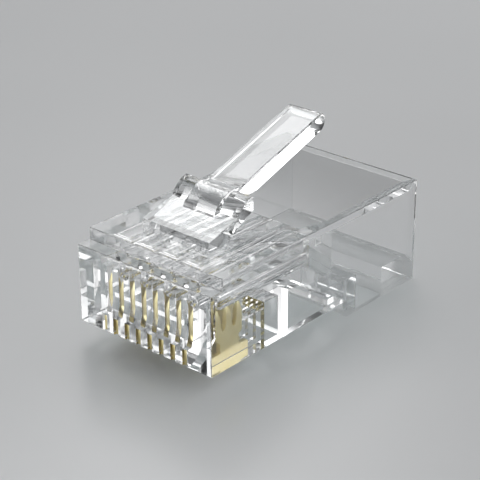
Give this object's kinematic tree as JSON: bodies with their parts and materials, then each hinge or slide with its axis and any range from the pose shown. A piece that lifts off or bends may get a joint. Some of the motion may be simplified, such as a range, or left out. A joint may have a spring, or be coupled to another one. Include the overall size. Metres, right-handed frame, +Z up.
{
  "type": "rj45 modular plug",
  "caption": "Clear modular plug with gold-plated blade contacts, staggered wire channels, a strain relief tongue and a sprung latch.",
  "frame": {"origin": "under the middle of the housing, on the face that the plug rests on", "axes": "+Z up through the latch, +Y towards the cable end, +X to the right seen from the nose's side with the latch up"},
  "size_m": [0.0116, 0.0214, 0.013],
  "materials": {
    "clear_plastic": "polished clear polycarbonate",
    "gold_contact": "thin gold plating over phosphor bronze"
  },
  "bodies": {
    "body": {"housing": "clear_plastic", "contact_1": "gold_contact", "contact_2": "gold_contact", "contact_3": "gold_contact", "contact_4": "gold_contact", "contact_5": "gold_contact", "contact_6": "gold_contact", "contact_7": "gold_contact", "contact_8": "gold_contact"},
    "latch": {"latch_tab": "clear_plastic"}
  },
  "joints": [
    {"name": "latch_flex", "type": "hinge", "parent": "body", "child": "latch", "pos_m": [0, -0.00594, 0.00846], "axis": [-1, 0, 0], "range_deg": [0, 17], "stiffness_Nm_per_rad": 0.3}
  ]
}
